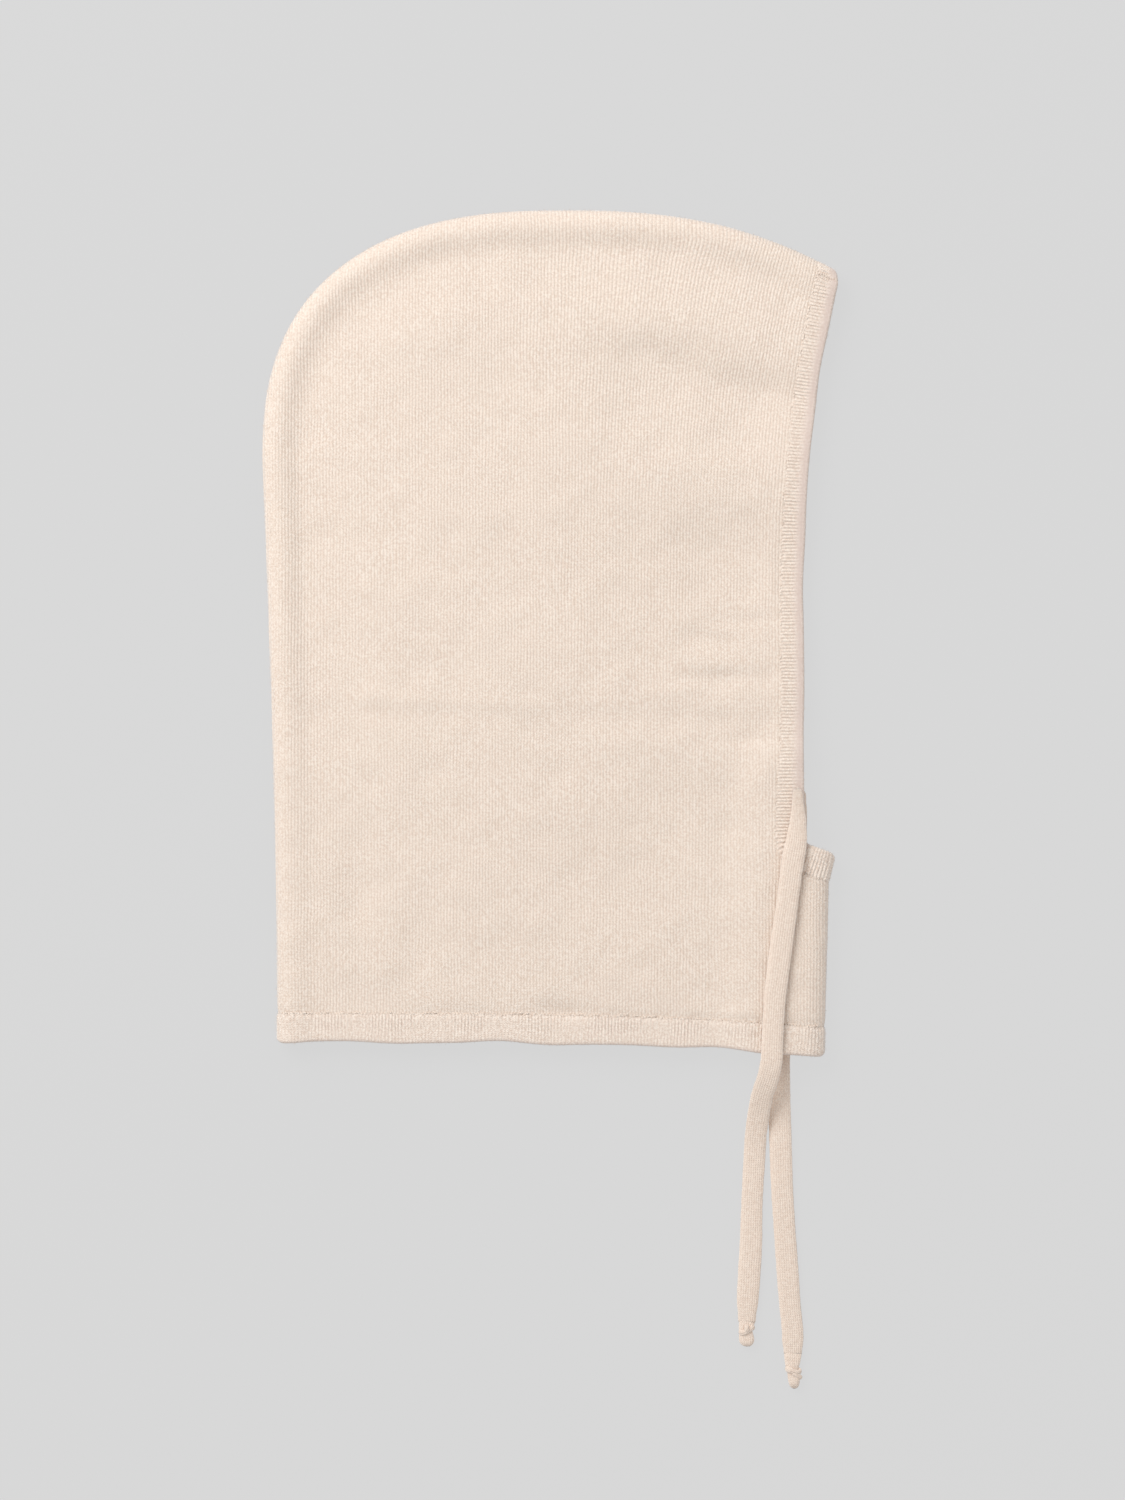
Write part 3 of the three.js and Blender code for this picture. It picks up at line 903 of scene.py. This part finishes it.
@dataclass
class RibBand:
    """A rib band along one open edge of the hood."""

    name: str
    plan: HoodPlan
    cloth: LaidCloth
    edge: PlanCurve
    inner: Array
    wall: float = 0.0028
    proud: float = 0.0004
    rib: float = 0.00157
    rib_relief: float = 0.0004
    seam_depth: float = 0.0001
    seam_width: float = 0.0011
    ragged: float = 0.0006
    # roll_shift moves the plain rolled zone and its painted shade towards the free edge, all along the band;
    # end_shift does so only near the band's end at the throat.
    roll_shift: float = 0.0
    end_shift: float = 0.0
    end_reach: float = 0.018
    stitch_size: tuple[float, float, float] = (0.00074, 0.00046, 0.00046)
    stitch_sink: float = 0.0
    waviness: float = 0.00025
    corner: float = 0.0016
    edge_share: float = 0.08
    plain_end: float = 0.0045
    columns_per_rib: int = 6
    across: int = 10
    fold_columns: tuple[float, ...] = (0, 0.15, 0.5, 1.1)

    def columns(self, length: float) -> Array:
        """Distances of the columns along the band, several for each rib."""
        count = int(round(length / self.rib)) * self.columns_per_rib
        near = np.array(self.fold_columns) * 0.001
        middle = np.linspace(0.0, length, count + 1)
        middle = middle[(middle > near[-1] + 0.0001) & (middle < length - near[-1] - 0.0001)]
        return np.concatenate([near, middle, (length - near)[::-1]])

    def build(self) -> bpy.types.Object:
        """Makes the band.

        Returns:
            The band's piece.
        """
        lines = self.plan.band_lines(self.edge, self.inner, self.columns)
        inwards = unit(lines.inner - lines.outer)
        line = np.stack([lines.marks, np.zeros_like(lines.marks)], axis=1)
        ends = np.minimum(lines.marks, lines.marks[-1] - lines.marks)
        pull = self.waviness * (1.0 + swell(line, 23, 0.045)) * ease(ends / 0.02)
        pull += self.corner * (1.0 - round_end(ends / (2.2 * self.corner)))
        lines.outer = lines.outer + inwards * pull[:, None]
        width = np.linalg.norm(lines.outer - lines.inner, axis=1)
        stop = 1.0 - (self.wall / 2) / width
        spread = np.concatenate([[0.0, 0.035, 0.075], np.linspace(0.12, 1.0, self.across)])[:, None]
        plan = lerp(lines.inner, lines.outer, (spread * stop)[..., None])
        under = np.arange(1, len(lines.marks) - 1)
        shares = spread * np.concatenate([stop, stop[under[::-1]]])
        base = layered_rings(self.cloth, plan, under)
        normals = ring_normals(base)
        marks = np.concatenate([lines.marks, lines.marks[under[::-1]]])
        line = np.stack([marks, np.zeros_like(marks)], axis=1)
        turns = marks / self.rib + 0.07 * swell(line, 21, 0.03)
        ribs = (0.5 - 0.5 * np.cos(2.0 * math.pi * turns)) * (0.85 + 0.25 * swell(line, 22, 0.004))
        from_seam = shares * np.concatenate([width, width[under[::-1]]])
        rise = ease((from_seam + self.ragged * swell(line, 24, 0.0034)) / self.seam_width)
        from_fold = np.minimum(marks, lines.marks[-1] - marks)
        shown = lerp(self.edge_share, 1.0, 1.0 - ease((spread - 0.6) / 0.14)) * ease(from_fold / self.plain_end)
        proud = self.proud * (1.0 + normals[..., 2]) / 2
        raised = proud * rise - self.seam_depth * (1.0 - rise) - self.rib_relief * (1.0 - ribs) * rise * shown
        outer = base + normals * raised[..., None]
        inner = base + normals * (proud - self.wall)[..., None]
        centre = (outer[-2] + inner[-2]) / 2
        rings = np.concatenate([outer, self.edge_rings(outer[-1], inner[-1], centre), inner[::-4]])
        faces = grid_faces(len(rings), rings.shape[1], closed=True)
        run = np.linalg.norm(np.diff(rings, axis=0), axis=-1).mean(axis=1)
        along = np.concatenate([[0.0], np.cumsum(run)])
        # Shifts the UV so that the plain rolled zone and its painted edge shade start nearer the free edge.
        plain_and_shade_shift = self.roll_shift + self.end_shift * ease((marks - marks.max() + self.end_reach) / 0.004)
        to_edge = (along - along[len(outer) + 4])[:, None] - plain_and_shade_shift
        places = np.stack(np.broadcast_arrays(marks[None, :], to_edge), axis=-1)
        return make_piece(self.name, rings, faces, places)

    def stitches(self, name: str) -> bpy.types.Object:
        """Makes the linking stitches on the upper layer, one beside each rib.

        Args:
            name: the piece's name.

        Returns:
            The stitches' piece.
        """
        line = PlanCurve(self.inner)
        marks = np.arange(0.004, line.length - 0.004, self.rib)
        return make_beads(name, self.cloth, line, marks, np.array(self.stitch_size), self.stitch_sink)

    def tack(self, name: str, inset: float) -> bpy.types.Object:
        """Makes the short row of stitches across the band beside the crown's fold.

        Args:
            name: the piece's name.
            inset: how far the row lies from the fold.

        Returns:
            The stitches' piece.
        """
        start, end = PlanCurve(self.inner).at(inset + 0.0015), self.edge.at(inset)
        line = PlanCurve(np.linspace(start, end, 20))
        marks = np.arange(0.0008, line.length - 0.0012, self.rib * 0.8)
        return make_beads(name, self.cloth, line, marks, np.array(self.stitch_size) * 0.9, -self.proud)

    def edge_rings(self, outer: Array, inner: Array, before: Array) -> Array:
        """Rings round the half-round free edge.

        Args:
            outer: the last ring of the outer face.
            inner: the last ring of the inner face.
            before: the middle of the wall one ring earlier.

        Returns:
            The rings from the outer to the inner face.
        """
        middle = (outer + inner) / 2
        half = outer - middle
        away = middle - before
        away = unit(away - half * (np.sum(away * half, axis=-1) / np.sum(half * half, axis=-1))[:, None])
        radius = np.linalg.norm(half, axis=-1)[:, None]
        turns = np.radians([72, 54, 36, 18, 0, -18, -36, -54, -72])
        return np.stack([middle + away * radius * math.cos(a) + half * math.sin(a) for a in turns])


NEAR_ROUTE = (
    (0.1162, -0.0725, 0.0167),
    (0.1166, -0.0800, 0.0167),
    (0.1166, -0.0880, 0.0167),
    (0.1160, -0.0970, 0.0167),
    (0.1143, -0.1070, 0.0167),
    (0.1129, -0.1165, 0.0166),
    (0.1112, -0.1300, 0.0165),
    (0.1084, -0.1500, 0.0164),
    (0.1062, -0.1680, 0.0165),
    (0.1050, -0.1830, 0.0166),
    (0.1045, -0.1940, 0.0166),
    (0.1041, -0.2020, 0.0163),
    (0.1024, -0.2100, 0.0144),
    (0.1000, -0.2180, 0.0106),
    (0.0986, -0.2270, 0.0066),
    (0.0974, -0.2370, 0.0036),
    (0.0968, -0.2480, 0.0021),
    (0.0957, -0.2680, 0.0018),
    (0.0950, -0.2910, 0.0018),
    (0.0936, -0.3150, 0.0018),
    (0.0932, -0.3260, 0.0018),
)
FAR_ROUTE = (
    (0.1162, -0.0725, 0.0018),
    (0.1165, -0.0800, 0.0018),
    (0.1164, -0.0900, 0.0018),
    (0.1152, -0.1040, 0.0018),
    (0.1134, -0.1200, 0.0018),
    (0.1112, -0.1400, 0.0018),
    (0.1096, -0.1600, 0.0018),
    (0.1089, -0.1800, 0.0018),
    (0.1085, -0.1990, 0.0018),
    (0.1086, -0.2180, 0.0018),
    (0.1090, -0.2360, 0.0018),
    (0.1095, -0.2520, 0.0018),
    (0.1102, -0.2680, 0.0018),
    (0.1118, -0.2920, 0.0018),
    (0.1134, -0.3150, 0.0018),
    (0.1148, -0.3300, 0.0018),
    (0.1150, -0.3410, 0.0018),
)


def smooth_route(points: Sequence[Sequence[float]], step: float) -> Array:
    """A smooth line through the points of a route.

    Args:
        points: the route's points.
        step: the distance between the line's own points.

    Returns:
        Evenly spaced points along the line.
    """
    knots = np.asarray(points, float)
    padded = np.concatenate([2 * knots[:1] - knots[1:2], knots, 2 * knots[-1:] - knots[-2:-1]])
    t = np.linspace(0.0, 1.0, 24, endpoint=False)[:, None]
    parts = []
    for a, b, c, d in zip(padded, padded[1:], padded[2:], padded[3:]):
        curve = 2 * b + (c - a) * t + (2 * a - 5 * b + 4 * c - d) * t**2 + (3 * b - a - 3 * c + d) * t**3
        parts.append(curve / 2)
    line = np.concatenate([*parts, knots[-1:]])
    marks = np.concatenate([[0.0], np.cumsum(np.linalg.norm(np.diff(line, axis=0), axis=1))])
    at = np.linspace(0.0, marks[-1], int(math.ceil(marks[-1] / step)) + 1)
    return np.stack([np.interp(at, marks, line[:, k]) for k in range(3)], axis=1)


@dataclass
class Tube:
    """A soft knitted tube along a line, round or pressed flat."""

    line: Array
    widths: Array
    heights: Array
    sides: int = 40
    squareness: float = 0.72
    looped: bool = False

    def rings(self) -> tuple[Array, Array]:
        """The tube's points and their places along the cloth."""
        if self.looped:
            heading = unit(np.roll(self.line, -1, axis=0) - np.roll(self.line, 1, axis=0))
        else:
            heading = unit(np.gradient(self.line, axis=0))
        upright = np.array([0.0, 0.0, 1.0]) if not self.looped else unit(self.line.mean(axis=0) - self.line)
        up = unit(upright - heading * np.sum(heading * upright, axis=1, keepdims=True))
        side = np.cross(up, heading)
        angle = (np.arange(self.sides) + 0.5) / self.sides * 2.0 * math.pi
        across = np.sign(np.cos(angle)) * np.abs(np.cos(angle)) ** self.squareness / 2
        rise = np.sign(np.sin(angle)) * np.abs(np.sin(angle)) ** self.squareness / 2
        rings = (
            self.line[:, None]
            + side[:, None] * (across[None, :, None] * self.widths[:, None, None])
            + up[:, None] * (rise[None, :, None] * self.heights[:, None, None])
        )
        run = np.linalg.norm(np.diff(self.line, axis=0), axis=1)
        marks = np.concatenate([[0.0], np.cumsum(run)])
        u = across[None, :] * self.widths.max() * 1.15
        places = np.stack(np.broadcast_arrays(u, marks[:, None]), axis=-1)
        return rings, places

    def faces(self) -> list:
        """The tube's faces, with a cap at each open end."""
        count = len(self.line)
        made = grid_faces(count, self.sides, closed=self.looped)
        if not self.looped:
            last = count * self.sides
            made += [list(range(self.sides))[::-1], list(range(last - self.sides, last))]
        return made


def make_tubes(name: str, tubes: Sequence[Tube], relief: float = 0.0) -> bpy.types.Object:
    """One piece of several tubes.

    Args:
        name: the piece's name.
        tubes: the tubes.
        relief: how uneven their surfaces are, in metres.

    Returns:
        The piece.
    """
    points, places, faces, start = [], [], [], 0
    for tube in tubes:
        rings, marks = tube.rings()
        flat = rings.reshape(-1, 3)
        middle = np.repeat(tube.line, tube.sides, axis=0)
        outwards = unit(flat - middle)
        bumps = swell(flat[:, :2] + flat[:, 2:] * 0.7, 41, 0.0045)
        points.append(flat + outwards * (relief * bumps)[:, None])
        places.append(marks.reshape(-1, 2))
        faces += [[corner + start for corner in face] for face in tube.faces()]
        start += len(flat)
    return make_piece(name, np.concatenate(points), faces, np.concatenate(places))


@dataclass
class Tie:
    """A flat knitted tie."""

    name: str
    route: tuple[tuple[float, float, float], ...]
    tip_share: float
    neck_share: float
    width: float = 0.0104
    thickness: float = 0.0034
    step: float = 0.0009
    tip: float = 0.026
    nose: float = 0.004
    neck: float = 0.012

    def line(self) -> Array:
        """The tie's middle line."""
        return smooth_route(self.route, self.step)

    @property
    def length(self) -> float:
        """The length of the tie's middle line."""
        return float(np.linalg.norm(np.diff(self.line(), axis=0), axis=1).sum())

    def build(self) -> bpy.types.Object:
        """Makes the tie's tube.

        Returns:
            The tie's piece.
        """
        line = self.line()
        marks = np.linspace(0.0, self.length, len(line))
        share = lerp(self.tip_share, 1.0, ease(marks / self.tip)) * round_end(marks / self.nose)
        share = share * lerp(self.neck_share, 1.0, ease((marks[-1] - marks) / self.neck))
        share = share * (1.0 + 0.025 * swell(line[:, :2], 51, 0.05))
        return make_tubes(self.name, [Tube(line, share * self.width, np.sqrt(share) * self.thickness)], 0.00006)


@dataclass
class Knot:
    """The small pulled knot at the end of a tie, in the tie's own yarn."""

    name: str
    tie: Tie
    length: float
    wrap_at: float
    wrap_lean: float
    tail: tuple[tuple[float, float], ...]
    ear: tuple[tuple[float, float, float], ...]
    wrap_width: float = 0.0058
    wrap_height: float = 0.0036
    cord: float = 0.0022
    middle: float = 0.0028

    def place(self, along: Array, aside: Array, rise: Array) -> Array:
        """Points from their places along the tie's end, beside it and above the surface."""
        end, before = np.array(self.tie.route[-1]), np.array(self.tie.route[-2])
        heading = unit((end - before) * np.array([1.0, 1.0, 0.0]))
        side = np.array([heading[1], -heading[0], 0.0])
        along, aside, rise = np.broadcast_arrays(along, aside, rise)
        foot = np.array([end[0], end[1], 0.0])
        return foot + heading * along[:, None] + side * aside[:, None] + np.array([0, 0, 1.0]) * rise[:, None]

    def core(self) -> Tube:
        """The tie's own end, which runs through the wrap and ends in a blunt tail."""
        along = np.linspace(-0.003, self.length, 60)
        marks = np.array([at for at, _ in self.tail]) * self.length
        width = np.interp(along, marks, np.array([share for _, share in self.tail]) * 0.0104)
        width = np.convolve(np.pad(width, 3, mode="edge"), np.ones(7) / 7, mode="valid")
        blunt = round_end((self.length - along) / 0.0034) * round_end((along + 0.003) / 0.001)
        drift = 0.0004 * np.sin(along / self.length * 5.0)
        rise = lerp(0.0016, self.middle - 0.0004, ease((along + 0.003) / 0.006))
        line = self.place(along, drift, rise)
        return Tube(line, width * blunt, blunt * lerp(0.0028, 0.0046, ease(along / self.length)), sides=32)

    def wrap(self) -> Tube:
        """The turn of the tie round its own end."""
        angle = np.linspace(0.0, 2.0 * math.pi, 40, endpoint=False)
        aside = np.cos(angle) * self.wrap_width / 2
        rise = self.middle + np.sin(angle) * self.wrap_height / 2
        line = self.place(self.wrap_at + aside * self.wrap_lean + 0.0005 * np.sin(angle), aside, rise)
        girth = np.full(40, self.cord) * (1.0 + 0.18 * np.sin(angle * 2.0 + 0.6))
        return Tube(line, girth * 1.25, girth * 0.85, sides=16, squareness=1.0, looped=True)

    def crossing(self) -> Tube:
        """The short lobe that crosses over the top of the wrap, or stands out as an ear."""
        points = np.array(self.ear)
        line = self.place(points[:, 0], points[:, 1], points[:, 2])
        line = smooth_route(line, 0.0003)
        share = round_end(np.minimum(np.arange(len(line)), np.arange(len(line))[::-1]) * 0.0003 / 0.0012)
        return Tube(line, share * self.cord * 1.1, share * self.cord * 0.9, sides=16, squareness=1.0)

    def build(self) -> bpy.types.Object:
        """Makes the knot.

        Returns:
            The knot's piece.
        """
        return make_tubes(self.name, [self.core(), self.wrap(), self.crossing()], 0.00006)


@dataclass(frozen=True)
class Nap:
    """The fine hairs that stand out of the yarn and soften every outline."""

    spacing: float = 0.0016
    hair: float = 0.0011
    girth: float = 0.00005
    bends: int = 3

    def grow(self, name: str, piece: bpy.types.Object, count: int, seed: int) -> bpy.types.Object:
        """Makes hairs on a piece, more of them where it curves down at its outline.

        Args:
            name: the hairs' name.
            piece: the finished piece that they grow on.
            count: how many hairs.
            seed: which draw.

        Returns:
            The hairs' piece.
        """
        draw = np.random.default_rng(seed)
        mesh = piece.data
        centre, normal = np.zeros(len(mesh.polygons) * 3), np.zeros(len(mesh.polygons) * 3)
        area = np.zeros(len(mesh.polygons))
        mesh.polygons.foreach_get("center", centre)
        mesh.polygons.foreach_get("normal", normal)
        mesh.polygons.foreach_get("area", area)
        centre, normal = centre.reshape(-1, 3), normal.reshape(-1, 3)
        steep = np.clip(1.0 - np.abs(normal[:, 2]), 0.03, 1.0) * (normal[:, 2] > -0.5)
        chosen = draw.choice(len(area), count, p=area * steep / np.sum(area * steep))
        root, up = centre[chosen], normal[chosen]
        loose = unit(draw.standard_normal((count, 3)))
        lean = unit(up + 0.8 * loose)
        curl = unit(np.cross(lean, unit(draw.standard_normal((count, 3)))))
        length = self.hair * draw.uniform(0.4, 1.3, count)[:, None]
        share = np.linspace(0.0, 1.0, self.bends + 1)
        line = np.stack(
            [root - up * 0.0001 + lean * length * t + curl * length * 0.35 * t * t for t in share], axis=1
        )
        line[..., 2] = np.maximum(line[..., 2], 0.0002)
        wide = unit(np.cross(lean, curl))
        corners = np.stack([curl, -0.5 * curl + 0.87 * wide, -0.5 * curl - 0.87 * wide], axis=1)
        girth = self.girth * (1.0 - 0.8 * share)
        points = line[:, :, None] + corners[:, None] * girth[None, :, None, None]
        one = grid_faces(self.bends + 1, 3, closed=False)
        one += [[2, 1, 0], [3 * self.bends, 3 * self.bends + 1, 3 * self.bends + 2]]
        size = 3 * (self.bends + 1)
        faces = [[corner + size * k for corner in face] for k in range(count) for face in one]
        return make_piece(name, points, faces, points[..., :2])


@dataclass
class Studio:
    """The floor, the light and the camera, which looks straight down."""

    centre: tuple[float, float] = (0.0059, -0.0551)
    frame_height: float = 0.709
    focus: float = 0.006
    lens: float = 100.0
    sensor: float = 36.0
    floor_shade: Colour = shade(216, 216, 216)
    floor_glow: float = 0.93
    sky: float = 0.67
    key_power: float = 27.0
    key_size: float = 1.3
    key_place: tuple[float, float, float] = (-0.97, 1.08, 1.4)

    def camera(self) -> None:
        """Places the camera over the laid hood."""
        data = bpy.data.cameras.new("camera")
        data.lens = self.lens
        data.sensor_width = self.sensor
        data.clip_end = 20.0
        camera = bpy.data.objects.new("camera", data)
        height = self.focus + self.frame_height * self.lens / self.sensor
        camera.location = (*self.centre, height)
        bpy.context.scene.collection.objects.link(camera)
        bpy.context.scene.camera = camera

    def floor(self) -> None:
        """Lays the pale floor, which glows so that it stays even, with a faint shadow."""
        bpy.ops.mesh.primitive_plane_add(size=60.0, location=(0.0, 0.0, -0.0003))
        floor = bpy.context.object
        floor.name = "floor"
        graph = Graph("floor")
        matt = graph.node("ShaderNodeBsdfDiffuse", {}, self.floor_shade)
        glow = graph.node("ShaderNodeEmission", {}, self.floor_shade, 1.0)
        graph.node("ShaderNodeOutputMaterial", {}, graph.node("ShaderNodeMixShader", {}, self.floor_glow, matt, glow))
        floor.data.materials.append(graph.material)

    def lights(self) -> None:
        """Sets the even sky and one broad light at the upper left."""
        scene = bpy.context.scene
        scene.view_settings.view_transform = "Standard"
        world = bpy.data.worlds.new("sky")
        world.use_nodes = True
        sky = world.node_tree.nodes["Background"].inputs
        sky["Color"].default_value = (1.0, 1.0, 1.0, 1.0)
        sky["Strength"].default_value = self.sky
        scene.world = world
        data = bpy.data.lights.new("key", "AREA")
        data.energy = self.key_power
        data.size = self.key_size
        key = bpy.data.objects.new("key", data)
        key.location = self.key_place
        key.rotation_mode = "QUATERNION"
        aim = Vector((0.0, 0.0, 0.0)) - Vector(self.key_place)
        key.rotation_quaternion = aim.to_track_quat("-Z", "Y")
        scene.collection.objects.link(key)


def dress(piece: bpy.types.Object, yarn: Yarn, materials: dict[Yarn, bpy.types.Material]) -> None:
    """Gives a piece its finish."""
    piece.data.materials.append(materials[yarn])


def main() -> None:
    """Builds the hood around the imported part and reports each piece."""
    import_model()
    bpy.ops.object.select_all(action="DESELECT")

    studio = Studio()
    studio.camera()
    materials = {yarn: yarn.value.material() for yarn in Yarn}

    near_tie = Tie("near_tie_tube", NEAR_ROUTE, tip_share=0.46, neck_share=0.8, tip=0.034)
    far_tie = Tie("far_tie_tube", FAR_ROUTE, tip_share=0.9, neck_share=0.84, neck=0.008)
    near_knot = Knot(
        "near_tie_end",
        near_tie,
        length=0.0116,
        wrap_at=0.0036,
        wrap_lean=0.5,
        wrap_width=0.0056,
        tail=((-0.3, 0.8), (0.1, 0.7), (0.35, 0.62), (0.62, 0.69), (1.0, 0.72)),
        ear=((0.0010, 0.0002, 0.0042), (0.0026, 0.0002, 0.0052), (0.0044, -0.0002, 0.0046)),
    )
    far_knot = Knot(
        "far_tie_end",
        far_tie,
        length=0.0166,
        wrap_at=0.0076,
        wrap_lean=-0.3,
        tail=((-0.2, 0.84), (0.25, 0.72), (0.45, 0.52), (0.7, 0.55), (1.0, 0.5)),
        ear=((0.0086, 0.0004, 0.0046), (0.0104, -0.0022, 0.0036), (0.0116, -0.0040, 0.0024)),
    )
    for tie, knot, node in ((near_tie, near_knot, "near_tie"), (far_tie, far_knot, "far_tie")):
        tube = tie.build()
        end = knot.build()
        for made, stands_for in ((tube, node), (end, node + "_knot")):
            dress(made, Yarn.TIE, materials)
            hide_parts(stands_for)
            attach(made, ROOT)
        tie.length
        tie.line().tolist()
        LOG.info("%s: %.3f m long", tie.name, tie.length)

    plan = HoodPlan()
    far_line = PlanCurve(np.array(FAR_ROUTE)[:, :2])
    cloth = LaidCloth(plan.crown, plan.throat, far_line)
    body = HoodBody(plan, cloth).build()
    band = RibBand("face_rib", plan, cloth, plan.face, plan.face_inner(), end_shift=0.006).build()
    hem = RibBand(
        "neck_rib", plan, cloth, plan.hem, plan.hem_inner(), rib=0.0015, proud=0.00055, seam_depth=0.0001,
        seam_width=0.0022, waviness=0.0006, rib_relief=0.0003, roll_shift=0.0040,
    ).build()
    face_links = RibBand("", plan, cloth, plan.face, plan.face_inner(), stitch_sink=0.0003).stitches("face_linking")
    hem_links = RibBand("", plan, cloth, plan.hem, plan.hem_inner(), rib=0.0015, stitch_sink=0.0003).stitches("neck_linking")
    tack = RibBand("", plan, cloth, plan.face, plan.face_inner()).tack("crown_tack", 0.005)
    for links in (face_links, hem_links, tack):
        dress(links, Yarn.JERSEY, materials)
        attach(links, ROOT)
    for made, yarn, node in (
        (body, Yarn.JERSEY, "hood_body"),
        (band, Yarn.RIB, "face_band"),
        (hem, Yarn.RIB, "neck_hem"),
    ):
        dress(made, yarn, materials)
        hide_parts(node)
        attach(made, ROOT)
        LOG.info("%s: %d faces", made.name, len(made.data.polygons))
    nap = Nap()
    for name, under, count, yarn in (
        ("jersey_nap", body, 7000, Yarn.JERSEY),
        ("face_nap", band, 2200, Yarn.RIB),
        ("neck_nap", hem, 2000, Yarn.RIB),
    ):
        hairs = nap.grow(name, under, count, len(name))
        dress(hairs, yarn, materials)
        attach(hairs, ROOT)

    studio.floor()
    studio.lights()


if __name__ == "__main__":
    logging.basicConfig(level=logging.INFO)
    main()
